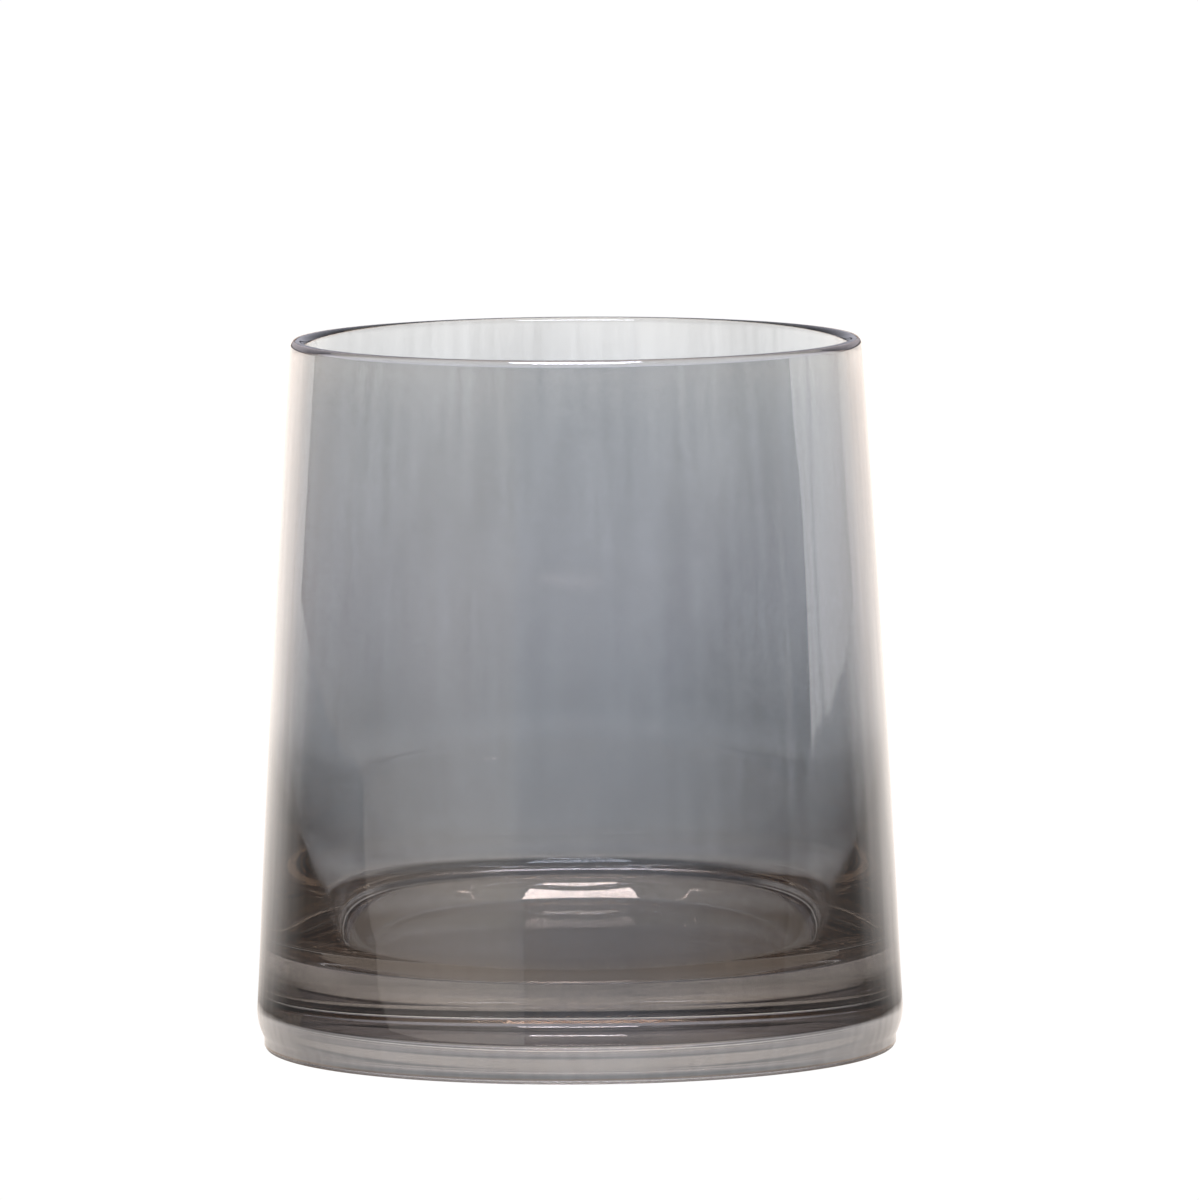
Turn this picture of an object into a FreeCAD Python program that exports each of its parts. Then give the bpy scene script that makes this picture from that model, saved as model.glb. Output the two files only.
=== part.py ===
import FreeCAD, Part
import math
import os

import Sketcher

# Whiskey tumbler: a heavy-based drinking glass with a metallic smoke film on its outside.
#
# Frame: +Z is up and is the axis of revolution. The origin is on that axis, at the centre of
# the ring the glass stands on, so the table top is the plane z = 0. Lengths are millimetres.
#
# Both pieces are bodies of revolution. Each is a closed half section, sketched on its body's
# XZ plane (sketch x is the radius, sketch y is the height) and turned once about Z.
#
#   glass_vessel   the clear glass: a thin wall and a thick solid base, all one piece
#   smoke_film     the smoke-grey lustre on its outside, from the small round at the foot up
#                  over the outer half of the lip

# ---------------------------------------------------------------------------------------------
# Driving dimensions: name, value, meaning
# ---------------------------------------------------------------------------------------------

DIMENSIONS = [
    ("total_height", 95.0, "table to the top of the lip"),
    ("lip_foot_height", 94.05, "height where the half-round lip starts"),
    ("lip_outer_radius", 38.05, "outer radius there"),
    ("lip_top_radius", 37.1, "radius of the highest point of the lip"),
    ("lip_inner_radius", 36.15, "inner radius where the lip starts"),
    ("wall_mid_height", 53.0, "height of a point half way up the outer wall"),
    ("wall_mid_radius", 40.65, "outer radius there"),
    ("shoulder_height", 19.0, "height where the long taper runs into the rounded base"),
    ("shoulder_radius", 42.45, "outer radius there"),
    ("shoulder_mid_height", 11.0, "height of a point between the belly and the taper"),
    ("shoulder_mid_radius", 42.82, "outer radius there"),
    ("belly_height", 5.6, "height of the greatest radius"),
    ("belly_radius", 43.12, "greatest radius of the clear glass"),
    ("heel_mid_height", 3.3, "height of a point on the rounding below the belly"),
    ("heel_mid_radius", 42.85, "outer radius there"),
    ("foot_height", 1.7, "top of the upright band around the foot"),
    ("foot_radius", 42.2, "outer radius of that band"),
    ("edge_height", 0.6, "height of the small round between that band and the bearing ring"),
    ("bearing_radius", 41.6, "outer radius of the flat ring that the glass stands on"),
    ("punt_radius", 36.0, "inner radius of that ring, where the hollow under the base starts"),
    ("punt_depth", 0.3, "depth of that hollow at the axis"),
    ("bore_mid_height", 70.0, "height of a point on the inner wall"),
    ("bore_mid_radius", 37.72, "inner radius there"),
    ("bore_foot_height", 44.0, "height where the cavity is widest"),
    ("bore_foot_radius", 38.9, "inner radius there"),
    ("bowl_mid_height", 30.0, "height of a point on the curve that closes the cavity in"),
    ("bowl_mid_radius", 38.35, "inner radius there"),
    ("corner_height", 16.5, "height where that curve meets the round of the floor's corner"),
    ("corner_radius", 35.8, "inner radius there"),
    ("floor_height", 12.2, "height of the cavity's flat floor, the thickness of the base"),
    ("floor_radius", 30.4, "radius of the flat part of that floor"),
    ("film_thickness", 0.1, "nominal thickness of the smoke film"),
    ("film_turn_height", 94.525, "height of a point on the lip, one third of the way to its top"),
    ("film_turn_radius", 37.923, "radius there"),
    ("film_top_height", 94.873, "height on the lip where the film ends"),
    ("film_top_radius", 37.575, "radius there"),
]

SIZE = {name: value for name, value, meaning in DIMENSIONS}


def fill_sheet(doc):
    """Write the dimensions into the document's sheet, one in each line."""
    sheet = doc.addObject("Spreadsheet::Sheet", "Dimensions")
    for line, (name, value, meaning) in enumerate(DIMENSIONS, start=1):
        sheet.set("A%d" % line, name)
        sheet.set("B%d" % line, str(value))
        sheet.set("C%d" % line, meaning)
        sheet.setAlias("B%d" % line, name)
    doc.recompute()


# ---------------------------------------------------------------------------------------------
# Points of the half sections: the names added up for the radius, and those for the height
# ---------------------------------------------------------------------------------------------

PUNT_TOP = ([], ["punt_depth"])
PUNT_RIM = (["punt_radius"], [])
BEARING = (["bearing_radius"], [])
EDGE = (["foot_radius"], ["edge_height"])
FOOT = (["foot_radius"], ["foot_height"])
HEEL_MID = (["heel_mid_radius"], ["heel_mid_height"])
BELLY = (["belly_radius"], ["belly_height"])
SHOULDER_MID = (["shoulder_mid_radius"], ["shoulder_mid_height"])
SHOULDER = (["shoulder_radius"], ["shoulder_height"])
WALL_MID = (["wall_mid_radius"], ["wall_mid_height"])
LIP_OUTER = (["lip_outer_radius"], ["lip_foot_height"])
FILM_TURN = (["film_turn_radius"], ["film_turn_height"])
FILM_TOP = (["film_top_radius"], ["film_top_height"])
LIP_TOP = (["lip_top_radius"], ["total_height"])
LIP_INNER = (["lip_inner_radius"], ["lip_foot_height"])
BORE_MID = (["bore_mid_radius"], ["bore_mid_height"])
BORE_FOOT = (["bore_foot_radius"], ["bore_foot_height"])
BOWL_MID = (["bowl_mid_radius"], ["bowl_mid_height"])
CORNER = (["corner_radius"], ["corner_height"])
FLOOR_RIM = (["floor_radius"], ["floor_height"])
FLOOR_CENTRE = ([], ["floor_height"])

LIP_TURN = 30     # degrees from level, where the lip faces at FILM_TURN
LIP_END = 60      # and at FILM_TOP


def outward(point, rise=0):
    """The point on the film's skin straight off the glass, which faces up by rise degrees."""
    radius, height = point
    if rise == 0:
        return (radius + ["film_thickness"], height)
    across = "film_thickness * %.4f" % math.cos(math.radians(rise))
    up = "film_thickness * %.4f" % math.sin(math.radians(rise))
    return (radius + [across], height + [up])


# Each section is its first point and then its edges in order. An edge is ("line", end),
# ("through", middle, end) for an arc drawn through a middle point, ("level first", end) for an
# arc that leaves its first point horizontally, or ("level last", end) for one that arrives so.

VESSEL_START = PUNT_TOP
VESSEL_EDGES = [
    ("level first", PUNT_RIM),
    ("line", BEARING),
    ("level first", EDGE),
    ("line", FOOT),
    ("through", HEEL_MID, BELLY),
    ("through", SHOULDER_MID, SHOULDER),
    ("through", WALL_MID, LIP_OUTER),
    ("through", LIP_TOP, LIP_INNER),
    ("through", BORE_MID, BORE_FOOT),
    ("through", BOWL_MID, CORNER),
    ("level last", FLOOR_RIM),
    ("line", FLOOR_CENTRE),
    ("line", PUNT_TOP),
]

FILM_START = EDGE
FILM_EDGES = [
    ("line", outward(EDGE)),
    ("line", outward(FOOT)),
    ("through", outward(HEEL_MID), outward(BELLY)),
    ("through", outward(SHOULDER_MID), outward(SHOULDER)),
    ("through", outward(WALL_MID), outward(LIP_OUTER)),
    ("through", outward(FILM_TURN, LIP_TURN), outward(FILM_TOP, LIP_END)),
    ("line", FILM_TOP),
    ("through", FILM_TURN, LIP_OUTER),
    ("through", WALL_MID, SHOULDER),
    ("through", SHOULDER_MID, BELLY),
    ("through", HEEL_MID, FOOT),
    ("line", EDGE),
]

# ---------------------------------------------------------------------------------------------
# Drawing a half section: every point is held by two distances that read the sheet
# ---------------------------------------------------------------------------------------------

START, END, CENTRE = 1, 2, 3      # the points of an edge, as Sketcher numbers them
ORIGIN = (-1, 1)                  # the sketch's own origin
RADIAL_AXIS, Z_AXIS = -1, -2      # the sketch's own x and y axes


def value(term):
    """The value of a dimension, or of a dimension times a number."""
    name, star, factor = term.partition(" * ")
    return SIZE[name] * float(factor or 1)


def total(names):
    return sum(value(name) for name in names)


def formula(names):
    return " + ".join("Dimensions." + name for name in names)


def at(point):
    """The point as a vector of the sketch, from the values the sheet was filled with."""
    radius, height = point
    return FreeCAD.Vector(total(radius), total(height), 0)


def hold(sketch, edge, end, point):
    """Hold a point of an edge at its radius and height."""
    radius, height = point
    for kind, names, axis in (("DistanceX", radius, Z_AXIS), ("DistanceY", height, RADIAL_AXIS)):
        if names:
            rule = Sketcher.Constraint(kind, *ORIGIN, edge, end, total(names))
            number = sketch.addConstraint(rule)
            sketch.setExpression("Constraints[%d]" % number, formula(names))
        else:
            sketch.addConstraint(Sketcher.Constraint("PointOnObject", edge, end, axis))


def level_middle(level, other):
    """The middle of the arc that is horizontal at one end and passes through the other."""
    across = other.x - level.x
    up = other.y - level.y
    centre = FreeCAD.Vector(level.x, level.y + (across ** 2 + up ** 2) / (2 * up), 0)
    towards = (level - centre) + (other - centre)
    return centre + towards.normalize() * (level - centre).Length


def draw_arc(sketch, first, middle, last):
    """Draw an arc; say which of its ends is which, because Sketcher turns all arcs one way."""
    number = sketch.addGeometry(Part.Arc(first, middle, last), False)
    if (sketch.getPoint(number, START) - first).Length < 1e-6:
        return number, START, END
    return number, END, START


def draw_section(sketch, start, edges):
    """Draw a closed chain of edges and constrain it fully."""
    before = start
    previous = None
    opening = None
    for step in edges:
        kind, after = step[0], step[-1]
        first, last = at(before), at(after)
        if kind == "line":
            edge = sketch.addGeometry(Part.LineSegment(first, last), False)
            begins, ends = START, END
        elif kind == "through":
            edge, begins, ends = draw_arc(sketch, first, at(step[1]), last)
            mark = sketch.addGeometry(Part.Point(at(step[1])), True)
            hold(sketch, mark, START, step[1])
            sketch.addConstraint(Sketcher.Constraint("PointOnObject", mark, START, edge))
        elif kind == "level first":
            edge, begins, ends = draw_arc(sketch, first, level_middle(first, last), last)
            sketch.addConstraint(Sketcher.Constraint("Vertical", edge, CENTRE, edge, begins))
        else:
            edge, begins, ends = draw_arc(sketch, first, level_middle(last, first), last)
            sketch.addConstraint(Sketcher.Constraint("Vertical", edge, CENTRE, edge, ends))
        if previous is None:
            opening = (edge, begins)
        else:
            sketch.addConstraint(Sketcher.Constraint("Coincident", *previous, edge, begins))
        hold(sketch, edge, ends, after)
        previous = (edge, ends)
        before = after
    sketch.addConstraint(Sketcher.Constraint("Coincident", *previous, *opening))


# ---------------------------------------------------------------------------------------------
# Bodies
# ---------------------------------------------------------------------------------------------

def origin_feature(body, role):
    """One of the body's own planes or axes, found by its role."""
    for feature in body.Origin.OriginFeatures:
        if feature.Role == role:
            return feature
    raise RuntimeError("the body has no " + role)


def turned_body(doc, name, start, edges):
    """A body made by turning one half section a full turn about the Z axis."""
    body = doc.addObject("PartDesign::Body", name)
    body.Label = name
    body.Placement = FreeCAD.Placement()
    sketch = body.newObject("Sketcher::SketchObject", name + "_section")
    sketch.AttachmentSupport = [(origin_feature(body, "XZ_Plane"), "")]
    sketch.MapMode = "FlatFace"
    draw_section(sketch, start, edges)
    doc.recompute()
    turn = body.newObject("PartDesign::Revolution", name + "_turned")
    turn.Profile = sketch
    turn.ReferenceAxis = (origin_feature(body, "Z_Axis"), [""])
    turn.Angle = 360.0
    doc.recompute()
    return body


# ---------------------------------------------------------------------------------------------
# The model
# ---------------------------------------------------------------------------------------------

doc = FreeCAD.newDocument("whiskey_tumbler")
fill_sheet(doc)

bodies = [
    turned_body(doc, "glass_vessel", VESSEL_START, VESSEL_EDGES),
    turned_body(doc, "smoke_film", FILM_START, FILM_EDGES),
]
doc.recompute()

# Nothing is written unless every object has worked out and every body is one sound solid
for item in doc.Objects:
    if "Invalid" in item.State or "Error" in item.State:
        raise RuntimeError(item.Label + " failed: " + ", ".join(item.State))
for body in bodies:
    shape = body.Shape
    if shape.isNull() or not shape.isValid():
        raise RuntimeError(body.Label + " has no valid shape")
    if len(shape.Solids) != 1:
        raise RuntimeError(body.Label + " is not one solid")

# What the sheet's sizes come to
vessel, film = (body.Shape for body in bodies)
cavity = Part.makeCylinder(60, SIZE["total_height"] - SIZE["floor_height"],
                           FreeCAD.Vector(0, 0, SIZE["floor_height"])).cut(vessel)
inside = [solid for solid in cavity.Solids if solid.BoundBox.XMax < SIZE["belly_radius"]]
print("sketches fully constrained:",
      [item.FullyConstrained for item in doc.Objects if item.TypeId == "Sketcher::SketchObject"])
print("glass %.1f cm3, film %.2f cm3, overlap %.4f cm3" % (
    vessel.Volume / 1000, film.Volume / 1000, vessel.common(film).Volume / 1000))
print("brimful %.0f ml, glass weighs %.0f g at 2.48 g/cm3" % (
    sum(solid.Volume for solid in inside) / 1000, vessel.Volume / 1000 * 2.48))
print("floor corner round %.2f mm" % (
    ((SIZE["corner_radius"] - SIZE["floor_radius"]) ** 2
     + (SIZE["corner_height"] - SIZE["floor_height"]) ** 2)
    / (2 * (SIZE["corner_height"] - SIZE["floor_height"]))))

os.makedirs("parts", exist_ok=True)
for body in bodies:
    body.Shape.exportStep(os.path.join("parts", body.Label + ".step"))
    box = body.Shape.optimalBoundingBox(False, False)
    print("%-14s %7.2f x %7.2f x %7.2f mm, z from %.2f to %.2f" % (
        body.Label, box.XLength, box.YLength, box.ZLength, box.ZMin, box.ZMax))
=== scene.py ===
# %% [markdown]
# # A smoke-lustre whiskey tumbler
# The real object is a heavy-based drinking glass, formed in one piece from clear soda-lime
# glass. Its outside carries a metallic film, far under a thousandth of a millimetre thick,
# which gives the smoke grey and the soft mirror. So there are two pieces: the clear glass,
# and the film. First the measured model is loaded. It is a fixed frame: the new pieces take
# the places of its solids, and ride on its one body, "root".

import math

import bmesh
import bpy
from mathutils import Matrix, Quaternion, Vector, noise


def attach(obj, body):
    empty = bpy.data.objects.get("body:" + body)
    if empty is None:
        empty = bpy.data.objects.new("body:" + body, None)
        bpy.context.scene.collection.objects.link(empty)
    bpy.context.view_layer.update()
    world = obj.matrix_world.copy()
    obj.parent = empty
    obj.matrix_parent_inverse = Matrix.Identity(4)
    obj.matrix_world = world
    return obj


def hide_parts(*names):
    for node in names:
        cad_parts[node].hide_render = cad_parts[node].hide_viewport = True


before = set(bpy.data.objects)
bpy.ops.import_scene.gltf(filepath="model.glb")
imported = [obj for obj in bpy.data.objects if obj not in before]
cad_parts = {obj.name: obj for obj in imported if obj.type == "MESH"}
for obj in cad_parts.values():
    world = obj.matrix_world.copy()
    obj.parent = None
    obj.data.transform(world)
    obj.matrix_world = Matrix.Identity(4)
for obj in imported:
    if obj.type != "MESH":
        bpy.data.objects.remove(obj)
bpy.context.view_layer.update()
MM = 0.001

# %% [markdown]
# ## Drawing a half section with a compass
# A tumbler is a body of revolution, so its whole shape is in one half section. A list of
# hundreds of points would do, but nobody could read it. Here a section starts as one vertex,
# and each edge is drawn from the last point: a line is an extrusion of that vertex, and an
# arc is a spin of it about the arc's centre, as a compass turns. The handful of points below
# are the corners of the real outline, in millimetres: radius, then height.

# %% The outline's points
PUNT_TOP = (0.0, 0.3)
PUNT_MID = (18.0, 0.225)
PUNT_RIM = (36.0, 0.0)
BEARING = (41.6, 0.0)
EDGE_MID = (42.024, 0.176)
EDGE = (42.2, 0.6)
FOOT = (42.2, 1.7)
HEEL_MID = (42.85, 3.3)
BELLY = (43.12, 5.6)
SHOULDER_MID = (42.82, 11.0)
SHOULDER = (42.45, 19.0)
WALL_MID = (40.65, 53.0)
LIP_OUTER = (38.05, 94.05)
LIP_TOP = (37.1, 95.0)
LIP_INNER = (36.15, 94.05)
BORE_MID = (37.72, 70.0)
BORE_FOOT = (38.9, 44.0)
BOWL_MID = (38.35, 30.0)
CORNER = (35.8, 16.5)
CORNER_MID = (33.85, 13.4)
FLOOR_RIM = (30.4, 12.2)
FLOOR_CENTRE = (0.0, 12.2)
print("greatest diameter", 2 * BELLY[0], "mm, height", LIP_TOP[1], "mm")

# %% Places on the outline
LIP_ROUND = LIP_TOP[1] - LIP_OUTER[1]     # radius of the half-round lip, mm


def place(point, outward=0.0):
    """A section point as a vector in metres, moved outward by some millimetres."""
    return Vector(((point[0] + outward) * MM, 0, point[1] * MM))


def on_lip(rise, outward=0.0):
    """The place on the half-round lip whose face looks up by rise degrees."""
    reach = LIP_ROUND + outward
    turn = math.radians(rise)
    return place((LIP_TOP[0] + reach * math.cos(turn), LIP_OUTER[1] + reach * math.sin(turn)))


print("the lip is", 2 * LIP_ROUND, "mm thick")

# %% The compass
def circle_centre(a, b, c):
    """The centre of the circle through three section points."""
    d = 2 * (a.x * (b.z - c.z) + b.x * (c.z - a.z) + c.x * (a.z - b.z))
    aa, bb, cc = a.length_squared, b.length_squared, c.length_squared
    x = (aa * (b.z - c.z) + bb * (c.z - a.z) + cc * (a.z - b.z)) / d
    z = (aa * (c.x - b.x) + bb * (a.x - c.x) + cc * (b.x - a.x)) / d
    return Vector((x, 0, z))


def turn_about_y(start, end):
    """The signed angle that swings one arm onto another about +Y."""
    return math.atan2(start.cross(end).y, start.dot(end))


def draw_line(section, pen, end, steps):
    """Extrude the pen's vertex in even steps to the end."""
    start = pen.co.copy()
    for step in range(1, steps + 1):
        made = bmesh.ops.extrude_vert_indiv(section, verts=[pen])
        pen = made["verts"][0]
        pen.co = start.lerp(end, step / steps)
    return pen


def draw_arc(section, pen, middle, end, steps):
    """Swing the pen's vertex about the centre of the circle through all three points."""
    start = pen.co.copy()
    centre = circle_centre(start, middle, end)
    arm = start - centre
    turn = turn_about_y(arm, middle - centre) + turn_about_y(middle - centre, end - centre)
    swung = bmesh.ops.spin(section, geom=[pen], cent=centre, axis=(0, 1, 0),
                           angle=turn, steps=steps, use_merge=False)
    pen = [item for item in swung["geom_last"] if isinstance(item, bmesh.types.BMVert)][0]
    pen.co = end
    return pen


# %% The lathe
STEPS_ROUND = 256
MERGE = 0.0005 * MM     # vertices nearer than this are one, as on the axis


def lathe(section, name):
    """Turn the section a full turn about Z and make it a piece with smooth faces."""
    bmesh.ops.spin(section, geom=section.verts[:] + section.edges[:], cent=(0, 0, 0),
                   axis=(0, 0, 1), angle=2 * math.pi, steps=STEPS_ROUND, use_merge=True)
    bmesh.ops.remove_doubles(section, verts=section.verts, dist=MERGE)
    bmesh.ops.recalc_face_normals(section, faces=section.faces)
    for face in section.faces:
        face.smooth = True
    mesh = bpy.data.meshes.new(name)
    section.to_mesh(mesh)
    section.free()
    piece = bpy.data.objects.new(name, mesh)
    bpy.context.scene.collection.objects.link(piece)
    print(name, "has", len(mesh.polygons), "faces")
    return piece


# %% [markdown]
# ## The clear glass
# The wall is thin and the base is over a centimetre of solid glass. That lump is a lens: it
# folds the table, the floor of the cavity and the far wall into the stripes that a heavy
# base shows. So the inside matters as much as the outside. The floor's corner is a round of
# 5.5 mm, and the foot has a small upright band with a finer round under it. For their length
# the tight rounds get more steps than the long walls, so that each looks smooth.

# %% Clear glass
HEEL_STEPS = 12
SHOULDER_STEPS = 14
WALL_STEPS = 66
FOOT_STEPS = 2

glass = bmesh.new()
pen = glass.verts.new(place(PUNT_TOP))
pen = draw_arc(glass, pen, place(PUNT_MID), place(PUNT_RIM), steps=16)
pen = draw_line(glass, pen, place(BEARING), steps=3)
pen = draw_arc(glass, pen, place(EDGE_MID), place(EDGE), steps=6)
pen = draw_line(glass, pen, place(FOOT), FOOT_STEPS)
pen = draw_arc(glass, pen, place(HEEL_MID), place(BELLY), HEEL_STEPS)
pen = draw_arc(glass, pen, place(SHOULDER_MID), place(SHOULDER), SHOULDER_STEPS)
pen = draw_arc(glass, pen, place(WALL_MID), place(LIP_OUTER), WALL_STEPS)
pen = draw_arc(glass, pen, place(LIP_TOP), place(LIP_INNER), steps=14)
pen = draw_arc(glass, pen, place(BORE_MID), place(BORE_FOOT), steps=50)
pen = draw_arc(glass, pen, place(BOWL_MID), place(CORNER), steps=40)
pen = draw_arc(glass, pen, place(CORNER_MID), place(FLOOR_RIM), steps=14)
pen = draw_line(glass, pen, place(FLOOR_CENTRE), steps=10)
vessel = lathe(glass, "clear_glass_tumbler")

# %% [markdown]
# ## The wall is not quite true
# A formed wall keeps a faint ripple where the glass cooled, a few hundredths of a millimetre
# deep. It can't be seen as a shape, only as bends in whatever shows through the wall. So the
# inner wall's vertices move in and out a little, by smooth noise that is stretched up and
# down as the glass was drawn.

# %% Ripple the inner wall
RIPPLE_LOW = 13.0 * MM
RIPPLE_HIGH = 93.5 * MM
RIPPLE_DEPTH = 0.05 * MM
RIPPLE_ACROSS = 14 * MM
RIPPLE_ALONG = 60 * MM
FLOOR_FADE = 6 * MM
LIP_FADE = 4 * MM

inner_wall = [vertex for vertex in vessel.data.vertices
              if RIPPLE_LOW < vertex.co.z < RIPPLE_HIGH and vertex.normal.xy.dot(vertex.co.xy) < 0]
for vertex in inner_wall:
    share = min(1.0, (vertex.co.z - RIPPLE_LOW) / FLOOR_FADE, (RIPPLE_HIGH - vertex.co.z) / LIP_FADE)
    at = Vector((vertex.co.x / RIPPLE_ACROSS, vertex.co.y / RIPPLE_ACROSS, vertex.co.z / RIPPLE_ALONG))
    grow = 1 + RIPPLE_DEPTH * share * noise.noise(at) / vertex.co.xy.length
    vertex.co.x *= grow
    vertex.co.y *= grow
print("rippled", len(inner_wall), "vertices by up to", RIPPLE_DEPTH / MM, "mm")

# %% [markdown]
# ## The film
# The real film is far thinner than any mesh, so a thin shell stands for it, just off the
# glass: near enough that its reflections and the wall's fall together, and far enough that
# the two surfaces never meet. It starts above the small round at the foot and ends on the
# outer half of the lip.

# %% Film
FILM_OUT = 0.09     # how far the shell's two skins stand off the glass, mm
FILM_IN = 0.03
LIP_TURN = 30       # where the film's arc over the lip is half way, degrees up
LIP_END = 60        # and where it ends
LIP_FILM_STEPS = 8

film = bmesh.new()
pen = film.verts.new(place(EDGE, FILM_IN))
pen = draw_line(film, pen, place(EDGE, FILM_OUT), steps=1)
pen = draw_line(film, pen, place(FOOT, FILM_OUT), FOOT_STEPS)
pen = draw_arc(film, pen, place(HEEL_MID, FILM_OUT), place(BELLY, FILM_OUT), HEEL_STEPS)
pen = draw_arc(film, pen, place(SHOULDER_MID, FILM_OUT), place(SHOULDER, FILM_OUT), SHOULDER_STEPS)
pen = draw_arc(film, pen, place(WALL_MID, FILM_OUT), place(LIP_OUTER, FILM_OUT), WALL_STEPS)
pen = draw_arc(film, pen, on_lip(LIP_TURN, FILM_OUT), on_lip(LIP_END, FILM_OUT), LIP_FILM_STEPS)
pen = draw_line(film, pen, on_lip(LIP_END, FILM_IN), steps=1)
pen = draw_arc(film, pen, on_lip(LIP_TURN, FILM_IN), place(LIP_OUTER, FILM_IN), LIP_FILM_STEPS)
pen = draw_arc(film, pen, place(WALL_MID, FILM_IN), place(SHOULDER, FILM_IN), WALL_STEPS)
pen = draw_arc(film, pen, place(SHOULDER_MID, FILM_IN), place(BELLY, FILM_IN), SHOULDER_STEPS)
pen = draw_arc(film, pen, place(HEEL_MID, FILM_IN), place(FOOT, FILM_IN), HEEL_STEPS)
pen = draw_line(film, pen, place(EDGE, FILM_IN), FOOT_STEPS)
coat = lathe(film, "smoke_lustre_film")

# %% Which faces lie under the film, and which are the film's own skins
BARE, COATED = 0, 1
OUTER_SKIN, INNER_SKIN = 0, 1


def faces_out(face):
    """Whether a face looks away from the axis."""
    return face.normal.xy.dot(face.center.xy) > 0


for face in vessel.data.polygons:
    under_film = faces_out(face) and EDGE[1] * MM < face.center.z < on_lip(LIP_END).z
    face.material_index = COATED if under_film else BARE
for face in coat.data.polygons:
    face.material_index = OUTER_SKIN if faces_out(face) else INNER_SKIN
print("coated faces:", sum(face.material_index == COATED for face in vessel.data.polygons))

# %% [markdown]
# ## How the finishes are put together
# Every finish is a small tree of nodes. One helper adds a node, sets its sockets or its own
# properties, and links what feeds it, so that each finish reads as a list. Colours are
# written as sRGB hex, as a paint chart gives them, and one function turns them to the linear
# values that shaders take.

# %% Node helpers
def linear(colour):
    """An sRGB hex colour as the linear values that shaders take."""
    channels = [int(colour[i:i + 2], 16) / 255 for i in (1, 3, 5)]
    return tuple(c / 12.92 if c <= 0.04045 else ((c + 0.055) / 1.055) ** 2.4
                 for c in channels) + (1.0,)


def new_material(name):
    material = bpy.data.materials.new(name)
    material.use_nodes = True
    material.node_tree.nodes.clear()
    return material


def add(tree, kind, settings=None, links=None):
    """Add a node, set its sockets or its own properties, and link what feeds it."""
    node = tree.nodes.new(kind)
    for name, value in (settings or {}).items():
        if isinstance(name, int) or name in node.inputs:
            node.inputs[name].default_value = value
        else:
            setattr(node, name, value)
    for name, source in (links or {}).items():
        tree.links.new(source, node.inputs[name])
    return node


def set_ramp(node, stops):
    """Set a colour ramp's stops: position, strength, colour."""
    ramp = node.color_ramp
    for number, (position, strength, hue) in enumerate(stops):
        stop = ramp.elements[number] if number < 2 else ramp.elements.new(position)
        stop.position = position
        stop.color = [strength * channel for channel in linear(hue)[:3]] + [1.0]


def upright_noise(tree, across, along, detail):
    """Smooth noise whose patches are so wide round the glass and so long up it."""
    where = add(tree, "ShaderNodeTexCoord")
    drawn = add(tree, "ShaderNodeMapping", {"Scale": (1 / across, 1 / across, 1 / along)},
                {"Vector": where.outputs["Object"]})
    return add(tree, "ShaderNodeTexNoise", {"Scale": 1.0, "Detail": detail},
               {"Vector": drawn.outputs["Vector"]})


print("mid grey #808080 is", round(linear("#808080")[0], 3), "in linear light")

# %% [markdown]
# ## Soda-lime glass
# Tumblers are made of soda-lime glass: it bends light by 1.52 and is almost colourless in a
# thin wall. Its surface is polished by the fire, so it has no grain, but hot glass never
# mixes quite evenly and keeps upright cords. To the eye they are a slight waver in whatever
# is seen through it. The real ones are a few millimetres apart and only some thousandths of
# a millimetre high, which a bump can carry.

# %% Clear soda-lime glass
GLASS_IOR = 1.52
CORD_ACROSS = 6 * MM
CORD_ALONG = 42 * MM
CORD_DEPTH = 0.006 * MM


def cords(tree):
    """The bump that the glass's drawn-out cords leave on its surface."""
    height = upright_noise(tree, CORD_ACROSS, CORD_ALONG, detail=2.0)
    return add(tree, "ShaderNodeBump", {"Strength": 1.0, "Distance": CORD_DEPTH},
               {"Height": height.outputs["Fac"]})


def clear_glass():
    """Fire-polished glass: sharp reflections, and all the rest goes through."""
    material = new_material("fire-polished soda-lime glass")
    tree = material.node_tree
    glass = add(tree, "ShaderNodeBsdfPrincipled",
                {"Base Color": linear("#fbfcfc"), "Roughness": 0.0, "IOR": GLASS_IOR,
                 "Transmission Weight": 1.0},
                {"Normal": cords(tree).outputs["Normal"]})
    add(tree, "ShaderNodeOutputMaterial", {}, {"Surface": glass.outputs["BSDF"]})
    return material


vessel.data.materials.append(clear_glass())
print("cords about", round(CORD_ACROSS / MM, 1), "mm apart")

# %% [markdown]
# ## Glass against the film
# Light that is inside the wall and meets the film from behind comes back warm here. It mirrors
# the painted warm shade on the paper under the glass, and the two give the brown at the edges
# of the base. So the coated faces are the same glass, but what they mirror is tinted. A plain
# glass shader can't tint its two halves apart, so refraction and reflection are mixed by the
# glass's Fresnel.

# %% Glass under the film
GLASS_SIDE = "#cdbba9"     # what the film sends back into the glass


def glass_under_film():
    """The same glass, whose mirrored share is tinted by the film behind it."""
    material = new_material("soda-lime glass against the lustre")
    tree = material.node_tree
    normal = cords(tree).outputs["Normal"]
    bend = add(tree, "ShaderNodeBsdfRefraction",
               {"Color": linear("#ffffff"), "Roughness": 0.0, "IOR": GLASS_IOR}, {"Normal": normal})
    mirror = add(tree, "ShaderNodeBsdfGlossy",
                 {"Color": linear(GLASS_SIDE), "Roughness": 0.0}, {"Normal": normal})
    share = add(tree, "ShaderNodeFresnel", {"IOR": GLASS_IOR})
    both = add(tree, "ShaderNodeMixShader", {},
               {0: share.outputs[0], 1: bend.outputs[0], 2: mirror.outputs[0]})
    add(tree, "ShaderNodeOutputMaterial", {}, {"Surface": both.outputs[0]})
    return material


vessel.data.materials.append(glass_under_film())
print("clear glass piece's finishes:", [material.name for material in vessel.data.materials])

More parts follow.
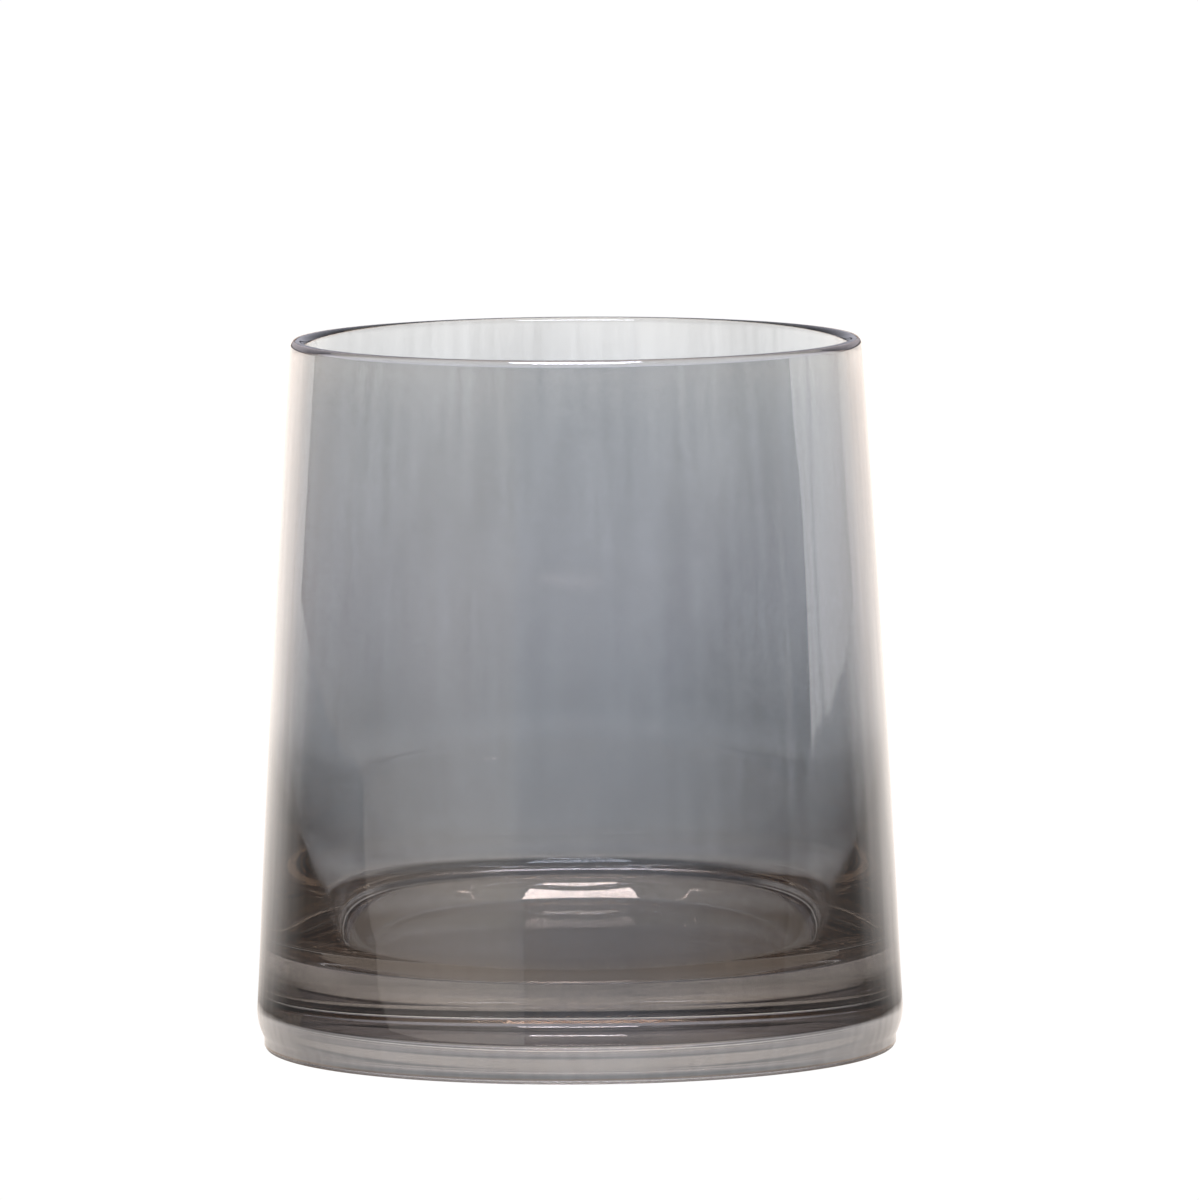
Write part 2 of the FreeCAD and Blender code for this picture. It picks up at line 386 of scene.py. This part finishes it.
# %% [markdown]
# ## The smoke lustre
# A lustre is a metal film laid on the glass as a vapour or a spray and fixed by heat. It is
# part mirror and part grey filter. Face on it mirrors some two fifths of the light; at a
# grazing angle it mirrors nearly all. What goes through is cool grey on the wall, warm near
# the foot and clearer towards the rim.
#
# It is never even. It drapes in clouds some centimetres wide, the wiping cloth leaves them
# a little less sharp, and fine threads run up the wall. Threads closer than a millimetre
# would not show, so they are drawn at 1.6 mm. The glass under it is drawn a little wavy too,
# which shows as bends in the film's upright reflections.

# %% The lustre's measures
FILM_MIRROR = 0.42
FILM_TINTS = [(9, "#cbc4be"), (20, "#d9dadd"), (36, "#d4d7dc"),
              (62, "#e6e8ed"), (86, "#f2f4f7"), (94, "#ffffff")]     # height in mm, filter
FILM_SILVER = "#e0e2e6"
GRAZING_SILVER = "#f6ece4"
GRAZING_POWER = 5.0
DRAG_ACROSS = 7 * MM
DRAG_ALONG = 70 * MM
DRAG_DEPTH = 0.20 * MM
CLOUD_ACROSS = 24 * MM
CLOUD_ALONG = 60 * MM
CLOUD_SHARE = 0.07
THREAD_ACROSS = 1.6 * MM
THREAD_ALONG = 120 * MM
THREAD_SHARE = 0.03
SHARPEST = 0.012
WIPED = 0.04


# %% The lustre's two halves
def lustre_filter(tree):
    """What the film lets through, by height."""
    where = add(tree, "ShaderNodeTexCoord")
    apart = add(tree, "ShaderNodeSeparateXYZ", {}, {0: where.outputs["Object"]})
    height = add(tree, "ShaderNodeMath", {"operation": "DIVIDE", 1: LIP_TOP[1] * MM},
                 {0: apart.outputs["Z"]})
    tint = add(tree, "ShaderNodeValToRGB", {}, {"Fac": height.outputs[0]})
    set_ramp(tint, [(level / LIP_TOP[1], 1.0, colour) for level, colour in FILM_TINTS])
    return add(tree, "ShaderNodeBsdfTransparent", {}, {"Color": tint.outputs["Color"]})


def lustre_mirror(tree, facing, cloud):
    """What the film sends back: silver, warmer at a grazing angle, a little wavy."""
    drag = upright_noise(tree, DRAG_ACROSS, DRAG_ALONG, detail=1.0)
    bump = add(tree, "ShaderNodeBump", {"Strength": 1.0, "Distance": DRAG_DEPTH},
               {"Height": drag.outputs["Fac"]})
    silver = add(tree, "ShaderNodeMix",
                 {"data_type": "RGBA", 6: linear(FILM_SILVER), 7: linear(GRAZING_SILVER)},
                 {0: facing.outputs["Facing"]})
    wiped = add(tree, "ShaderNodeMapRange",
                {"From Min": 0.35, "From Max": 0.65, "To Min": SHARPEST, "To Max": WIPED},
                {"Value": cloud.outputs["Fac"]})
    return add(tree, "ShaderNodeBsdfGlossy", {},
               {"Color": silver.outputs[2], "Normal": bump.outputs[0], "Roughness": wiped.outputs[0]})


# %% Smoke lustre
NOISE_LOW, NOISE_HIGH = 0.3, 0.7     # between these lies nearly all of a noise's range


def smoke_lustre():
    """A metal film: part mirror, part grey filter, in clouds and fine upright threads."""
    material = new_material("smoke lustre")
    tree = material.node_tree
    facing = add(tree, "ShaderNodeLayerWeight", {"Blend": 0.5})
    cloud = upright_noise(tree, CLOUD_ACROSS, CLOUD_ALONG, detail=2.0)
    thread = upright_noise(tree, THREAD_ACROSS, THREAD_ALONG, detail=1.0)
    patchy = add(tree, "ShaderNodeMapRange",
                 {"From Min": NOISE_LOW, "From Max": NOISE_HIGH,
                  "To Min": FILM_MIRROR - CLOUD_SHARE, "To Max": FILM_MIRROR + CLOUD_SHARE},
                 {"Value": cloud.outputs["Fac"]})
    threads = add(tree, "ShaderNodeMapRange",
                  {"From Min": NOISE_LOW, "From Max": NOISE_HIGH,
                   "To Min": -THREAD_SHARE, "To Max": THREAD_SHARE},
                  {"Value": thread.outputs["Fac"]})
    level = add(tree, "ShaderNodeMath", {"operation": "ADD"},
                {0: patchy.outputs[0], 1: threads.outputs[0]})
    steep = add(tree, "ShaderNodeMath", {"operation": "POWER", 1: GRAZING_POWER},
                {0: facing.outputs["Facing"]})
    share = add(tree, "ShaderNodeMath",
                {"operation": "MULTIPLY_ADD", 1: 1 - FILM_MIRROR, "use_clamp": True},
                {0: steep.outputs[0], 2: level.outputs[0]})
    both = add(tree, "ShaderNodeMixShader", {},
               {0: share.outputs[0], 1: lustre_filter(tree).outputs[0],
                2: lustre_mirror(tree, facing, cloud).outputs[0]})
    add(tree, "ShaderNodeOutputMaterial", {}, {"Surface": both.outputs[0]})
    return material


def film_inner_skin():
    """The shell's inner skin lets all light by, because a real film has no second side."""
    material = new_material("inner skin of the lustre")
    tree = material.node_tree
    through = add(tree, "ShaderNodeBsdfTransparent", {"Color": linear("#ffffff")})
    add(tree, "ShaderNodeOutputMaterial", {}, {"Surface": through.outputs[0]})
    return material


coat.data.materials.append(smoke_lustre())
coat.data.materials.append(film_inner_skin())
print("film piece's finishes:", [material.name for material in coat.data.materials])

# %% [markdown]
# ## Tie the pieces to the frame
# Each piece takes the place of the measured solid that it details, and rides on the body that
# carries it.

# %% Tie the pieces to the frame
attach(vessel, "root")
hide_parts("glass_vessel")
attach(coat, "root")
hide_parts("smoke_film")
print("tied", vessel.name, "and", coat.name)

# %% [markdown]
# ## The stage
# Glass has hardly any look of its own: it shows what stands around it. In a studio it is
# lit from behind, with glowing paper, and dark and light cards are placed for it to mirror.
# This stage does the same. The paper under and behind the glass glows. The camera sees plain
# white there. To the glass the paper is bright straight back and dim to the sides, which
# gives the body its edges, and the backdrop has a dark band across it, which darkens the
# base. Real paper would be shaded by the glass that stands on it, but paper that glows takes
# no shade, so the shade is drawn in. None of the stage belongs to the object.

# %% Cards and plain glow
def glowing(name, colour, strength):
    material = new_material(name)
    tree = material.node_tree
    glow = add(tree, "ShaderNodeEmission", {"Color": linear(colour), "Strength": strength})
    add(tree, "ShaderNodeOutputMaterial", {}, {"Surface": glow.outputs[0]})
    return material


def staged(name, sheet, material):
    """Make a stage object of a bmesh."""
    mesh = bpy.data.meshes.new(name)
    sheet.to_mesh(mesh)
    sheet.free()
    piece = bpy.data.objects.new(name, mesh)
    bpy.context.scene.collection.objects.link(piece)
    mesh.materials.append(material)
    print("staged", name)
    return piece


def card(name, width, depth, centre, material, lean=0):
    """A flat card, leant back by some degrees about its width and then placed."""
    sheet = bmesh.new()
    bmesh.ops.create_grid(sheet, x_segments=1, y_segments=1, size=0.5)
    bmesh.ops.scale(sheet, vec=(width, depth, 1), verts=sheet.verts)
    bmesh.ops.rotate(sheet, cent=(0, 0, 0), verts=sheet.verts,
                     matrix=Matrix.Rotation(math.radians(lean), 3, "X"))
    bmesh.ops.translate(sheet, vec=centre, verts=sheet.verts)
    return staged(name, sheet, material)


# %% The glowing paper's measures, in metres and degrees
TABLE_SIDE = 2.6
TABLE_FRONT = -0.10
TABLE_DROP = 0.0003      # the table lies a hair under the glass, so that they don't touch
BACK_Y = 0.85
BACK_TOP = 0.80
WHITE = 1.02             # what the camera sees

BRIGHT_AZIMUTH = 14      # full glow within this angle of straight back
DIM_AZIMUTH = 72         # and least beyond this one
DIM_SHARE = 0.06
NEAR_Y, NEAR_GLOW = 0.08, 1.12
FAR_Y, BACK_GLOW = 0.6, 1.43
PAD_RADIUS, PAD_END = 0.06, 0.10           # close to the glass the paper glows all round
SHADE_RADIUS, CLEAR_RADIUS = 0.0415, 0.0435
# Painted shade: under the glass the paper glows only this much, in the warm hue of the next line.
PAINTED_SHADE_GLOW = 0.30                          # the paper that the glass stands on
SHADE_HUE = "#ffe9d6"
SHADOW_CENTRE = (-0.002, 0.030, 0.0)       # the darkest part, under the far edge
SHADOW_RADIUS, SHADOW_END = 0.028, 0.035
FRONT_Y, REAR_Y, FRONT_SHARE = -0.03, 0.03, 0.55
BACK_LEVELS = [(0.0, 1.0, "#ffffff"), (0.082, 1.0, "#ffffff"), (0.098, 0.40, "#f4f4ff"),
               (0.108, 0.04, "#e8ecff"), (0.130, 0.04, "#e8ecff"), (0.150, 0.50, "#ececfa"),
               (0.80, 0.50, "#ececfa")]    # height, share of the glow, hue
SMOOTH = {"interpolation_type": "SMOOTHSTEP"}


# %% How the paper's glow falls off
def glow_by_direction(tree, x, y, away):
    """The paper's glow where the sky is open: bright straight back, dim to the sides."""
    aside = add(tree, "ShaderNodeMath", {"operation": "ABSOLUTE"}, {0: x})
    azimuth = add(tree, "ShaderNodeMath", {"operation": "ARCTAN2"}, {0: aside.outputs[0], 1: y})
    side = add(tree, "ShaderNodeMapRange",
               {**SMOOTH, "From Min": math.radians(BRIGHT_AZIMUTH),
                "From Max": math.radians(DIM_AZIMUTH), "To Min": 1.0, "To Max": DIM_SHARE},
               {"Value": azimuth.outputs[0]})
    pad = add(tree, "ShaderNodeMapRange",
              {**SMOOTH, "From Min": PAD_RADIUS, "From Max": PAD_END, "To Min": 1.0, "To Max": 0.0},
              {"Value": away})
    side_or_pad = add(tree, "ShaderNodeMath", {"operation": "MAXIMUM"},
                      {0: side.outputs[0], 1: pad.outputs[0]})
    level = add(tree, "ShaderNodeMapRange",
                {**SMOOTH, "From Min": NEAR_Y, "From Max": FAR_Y,
                 "To Min": NEAR_GLOW, "To Max": BACK_GLOW},
                {"Value": y})
    lit = add(tree, "ShaderNodeMath", {"operation": "MULTIPLY"},
              {0: side_or_pad.outputs[0], 1: level.outputs[0]})
    return lit.outputs[0]


def shade_of_glass(tree, flat, y):
    """What the glass's own shadow leaves of the glow."""
    shifted = add(tree, "ShaderNodeVectorMath", {"operation": "SUBTRACT", 1: SHADOW_CENTRE},
                  {0: flat})
    from_shadow = add(tree, "ShaderNodeVectorMath", {"operation": "LENGTH"},
                      {0: shifted.outputs[0]})
    shadow = add(tree, "ShaderNodeMapRange",
                 {**SMOOTH, "From Min": SHADOW_RADIUS, "From Max": SHADOW_END,
                  "To Min": 0.0, "To Max": 1.0},
                 {"Value": from_shadow.outputs["Value"]})
    front = add(tree, "ShaderNodeMapRange",
                {**SMOOTH, "From Min": FRONT_Y, "From Max": REAR_Y,
                 "To Min": FRONT_SHARE, "To Max": 1.0},
                {"Value": y})
    kept = add(tree, "ShaderNodeMath", {"operation": "MULTIPLY"},
               {0: shadow.outputs[0], 1: front.outputs[0]})
    return kept.outputs[0]


# %% The glowing paper
def paper_glow(name):
    """Paper lit from behind, plain white to the camera, in shade under the glass."""
    material = new_material(name)
    tree = material.node_tree
    where = add(tree, "ShaderNodeTexCoord")
    apart = add(tree, "ShaderNodeSeparateXYZ", {}, {0: where.outputs["Object"]})
    x, y, z = apart.outputs
    flat = add(tree, "ShaderNodeCombineXYZ", {}, {"X": x, "Y": y})
    away = add(tree, "ShaderNodeVectorMath", {"operation": "LENGTH"}, {0: flat.outputs[0]})
    lit = add(tree, "ShaderNodeMath", {"operation": "MULTIPLY"},
              {0: glow_by_direction(tree, x, y, away.outputs["Value"]),
               1: shade_of_glass(tree, flat.outputs[0], y)})
    open_sky = add(tree, "ShaderNodeMapRange",
                   {**SMOOTH, "From Min": SHADE_RADIUS, "From Max": CLEAR_RADIUS,
                    "To Min": 0.0, "To Max": 1.0},
                   {"Value": away.outputs["Value"]})
    glow_here = add(tree, "ShaderNodeMix", {"data_type": "FLOAT", 2: PAINTED_SHADE_GLOW},
                    {0: open_sky.outputs[0], 3: lit.outputs[0]})
    camera_ray = add(tree, "ShaderNodeLightPath").outputs["Is Camera Ray"]
    seen = add(tree, "ShaderNodeMix", {"data_type": "FLOAT", 3: WHITE},
               {0: camera_ray, 2: glow_here.outputs[0]})
    unshaded = add(tree, "ShaderNodeMath", {"operation": "MAXIMUM"},
                   {0: open_sky.outputs[0], 1: camera_ray})
    hue = add(tree, "ShaderNodeMix",
              {"data_type": "RGBA", 6: linear(SHADE_HUE), 7: linear("#ffffff")},
              {0: unshaded.outputs[0]})
    rise = add(tree, "ShaderNodeMath", {"operation": "DIVIDE", 1: BACK_TOP}, {0: z})
    upward = add(tree, "ShaderNodeValToRGB", {}, {"Fac": rise.outputs[0]})
    set_ramp(upward, [(height / BACK_TOP, share, tint) for height, share, tint in BACK_LEVELS])
    band = add(tree, "ShaderNodeMix", {"data_type": "RGBA", 7: linear("#ffffff")},
               {0: camera_ray, 6: upward.outputs["Color"]})
    tinted = add(tree, "ShaderNodeMix", {"data_type": "RGBA", "blend_type": "MULTIPLY", 0: 1.0},
                 {6: hue.outputs[2], 7: band.outputs[2]})
    glow = add(tree, "ShaderNodeEmission", {},
               {"Strength": seen.outputs[0], "Color": tinted.outputs[2]})
    add(tree, "ShaderNodeOutputMaterial", {}, {"Surface": glow.outputs[0]})
    return material


paper = paper_glow("backlit opal paper")
card("light_table", TABLE_SIDE, BACK_Y - TABLE_FRONT,
     (0, (BACK_Y + TABLE_FRONT) / 2, -TABLE_DROP), paper)
backdrop = card("backdrop", TABLE_SIDE, BACK_TOP, (0, BACK_Y, BACK_TOP / 2 - MM), paper, lean=90)
backdrop.visible_camera = False

# %% [markdown]
# ## Papers around the glass
# The film is a mirror, and the body's greys are what it mirrors: a bright panel to the right,
# pale paper to the left, and the dim room behind the camera, with a dark gap between the room
# and the panel. They stand on a circle around the glass. Each is a curved sheet, spun from
# one upright edge, and its glow changes with the compass angle, counted clockwise from
# straight back as seen from above. A thin dark gap in the panel gives the fine upright line
# that shows in the wall.

# %% Curved papers
PAPER_RADIUS = 1.3
PAPER_FOOT = -0.6
PAPER_HEAD = 1.5
NO_FADE = (-0.61, -0.60)     # below the paper's foot, so that none of it is faded
ROOM_FADE = (-0.12, 0.04)    # the room is dark below table height


def uneven_paper(name, glow_by_azimuth, fade):
    """Paper whose glow changes with the compass angle and fades in at its foot."""
    material = new_material(name)
    tree = material.node_tree
    where = add(tree, "ShaderNodeTexCoord")
    apart = add(tree, "ShaderNodeSeparateXYZ", {}, {0: where.outputs["Object"]})
    ahead = add(tree, "ShaderNodeMath", {"operation": "MULTIPLY", 1: -1.0}, {0: apart.outputs["Y"]})
    west = add(tree, "ShaderNodeMath", {"operation": "MULTIPLY", 1: -1.0}, {0: apart.outputs["X"]})
    angle = add(tree, "ShaderNodeMath", {"operation": "ARCTAN2"},
                {0: west.outputs[0], 1: ahead.outputs[0]})
    share = add(tree, "ShaderNodeMath", {"operation": "MULTIPLY_ADD", 1: 0.5 / math.pi, 2: 0.5},
                {0: angle.outputs[0]})
    level = add(tree, "ShaderNodeValToRGB", {}, {"Fac": share.outputs[0]})
    set_ramp(level, [(azimuth / 360, glow, hue) for azimuth, glow, hue in glow_by_azimuth])
    rise = add(tree, "ShaderNodeMapRange", {**SMOOTH, "From Min": fade[0], "From Max": fade[1]},
               {"Value": apart.outputs["Z"]})
    glow = add(tree, "ShaderNodeEmission", {},
               {"Color": level.outputs["Color"], "Strength": rise.outputs[0]})
    add(tree, "ShaderNodeOutputMaterial", {}, {"Surface": glow.outputs[0]})
    return material


def paper_wall(name, first, last, material, foot=PAPER_FOOT, radius=PAPER_RADIUS):
    """A curved sheet round the glass between two compass angles, unseen by the camera."""
    sheet = bmesh.new()
    low = sheet.verts.new((0, radius, foot))
    high = sheet.verts.new((0, radius, PAPER_HEAD))
    sheet.edges.new((low, high))
    bmesh.ops.rotate(sheet, cent=(0, 0, 0), verts=sheet.verts,
                     matrix=Matrix.Rotation(-math.radians(first), 3, "Z"))
    bmesh.ops.spin(sheet, geom=sheet.verts[:] + sheet.edges[:], cent=(0, 0, 0), axis=(0, 0, -1),
                   angle=math.radians(last - first), steps=32, use_merge=False)
    wall = staged(name, sheet, material)
    wall.visible_camera = False
    return wall


# %% Panel, paper and room: compass angle, glow, hue
RIGHT_PANEL = [(50, 0.38, "#ffffff"), (73.5, 0.40, "#ffffff"), (75, 0.16, "#ffffff"),
               (76.5, 0.40, "#ffffff"), (81, 0.40, "#ffffff"), (82, 0.26, "#ffffff"),
               (83, 0.40, "#ffffff"), (86, 0.36, "#ffffff")]
LEFT_PAPER = [(201, 0.18, "#f6f9ff"), (206, 0.215, "#fffcf8"), (225, 0.22, "#fff8f2"),
              (262, 0.13, "#fff6ee"), (300, 0.16, "#fff6ee")]
ROOM = [(86, 0.0, "#ffffff"), (93.5, 0.0, "#ffffff"), (95, 0.10, "#ffffff"),
        (96.5, 0.01, "#ffffff"), (100, 0.01, "#e8f0ff"), (124, 0.05, "#e8f0ff"),
        (150, 0.14, "#e8f0ff"), (180, 0.17, "#eef4ff"), (201, 0.17, "#f4f8ff")]

paper_wall("right_panel", 50, 86, uneven_paper("right panel", RIGHT_PANEL, NO_FADE))
paper_wall("left_paper", 201, 310, uneven_paper("left paper", LEFT_PAPER, NO_FADE))
paper_wall("room_wall", 86, 201, uneven_paper("room wall", ROOM, ROOM_FADE))

# %% [markdown]
# ## From above
# A half-round lip mirrors and bends what is over it, so without light from above it would be
# a black line. A soft tent and a large overhead card light it, and two strip lamps under the
# card give the white streaks on the floor of the cavity.

# %% Tent, overhead card and lamps
TENT_FOOT = 0.28
TENT_RADIUS = 1.28
OVERHEAD_SIZE = (2.4, 2.0)
OVERHEAD_Z = 0.75
LAMP_X = -0.004
LAMP_Z = 0.70
LAMPS = [(0.36, 0.15, -0.19, 16.0), (0.30, 0.05, -0.36, 12.0)]     # width, depth, y, glow

paper_wall("upper_tent", 50, 310, glowing("upper tent", "#f0f0ff", 0.7), TENT_FOOT, TENT_RADIUS)
overhead = card("overhead", *OVERHEAD_SIZE, (0, 0, OVERHEAD_Z), glowing("overhead", "#ffffff", 0.75))
overhead.visible_camera = False
for number, (width, depth, y, strength) in enumerate(LAMPS):
    lamp = card("lamp_%d" % number, width, depth, (LAMP_X, y, LAMP_Z),
                glowing("strip lamp", "#eef0ff", strength))
    lamp.visible_camera = False

# %% The room's dark, and white behind for the camera
world = bpy.data.worlds.new("dark studio")
bpy.context.scene.world = world
world.use_nodes = True
world.node_tree.nodes.clear()
paths = add(world.node_tree, "ShaderNodeLightPath")
dark = add(world.node_tree, "ShaderNodeBackground", {"Color": linear("#a9b4c8"), "Strength": 0.02})
white = add(world.node_tree, "ShaderNodeBackground", {"Color": linear("#ffffff"), "Strength": WHITE})
seen = add(world.node_tree, "ShaderNodeMixShader", {},
           {0: paths.outputs["Is Camera Ray"], 1: dark.outputs[0], 2: white.outputs[0]})
add(world.node_tree, "ShaderNodeOutputWorld", {}, {"Surface": seen.outputs[0]})
print("world:", world.name)

# %% [markdown]
# ## The camera
# The camera looks slightly down, by about five and a half degrees, from two metres away with
# a long lens, so that the rim is a thin ellipse and the base a fuller one. It is turned by a
# third of a degree, because the glass leans that much in the view. Light crosses the wall
# and the base many times, so a path may be long.

# %% Camera and paths of light
CAMERA_PLACE = Vector((0.00294, -2.052, 0.257))
CAMERA_AIM = Vector((0.00294, 0, 0.0599))
CAMERA_ROLL = -0.35

camera = bpy.data.objects.new("camera", bpy.data.cameras.new("camera"))
bpy.context.scene.collection.objects.link(camera)
bpy.context.scene.camera = camera
camera.location = CAMERA_PLACE
aim = CAMERA_AIM - CAMERA_PLACE
camera.rotation_mode = "QUATERNION"
camera.rotation_quaternion = (aim.to_track_quat("-Z", "Y")
                              @ Quaternion((0, 0, 1), math.radians(CAMERA_ROLL)))
camera.data.lens = 463
camera.data.sensor_width = 36
camera.data.clip_end = 100

bpy.context.scene.view_settings.view_transform = "Standard"
bpy.context.scene.cycles.max_bounces = 32
bpy.context.scene.cycles.transmission_bounces = 32
bpy.context.scene.cycles.glossy_bounces = 24
bpy.context.scene.cycles.transparent_max_bounces = 48
down = math.degrees(math.atan2(-aim.z, aim.y))
print("the camera looks down by", round(down, 2), "degrees")
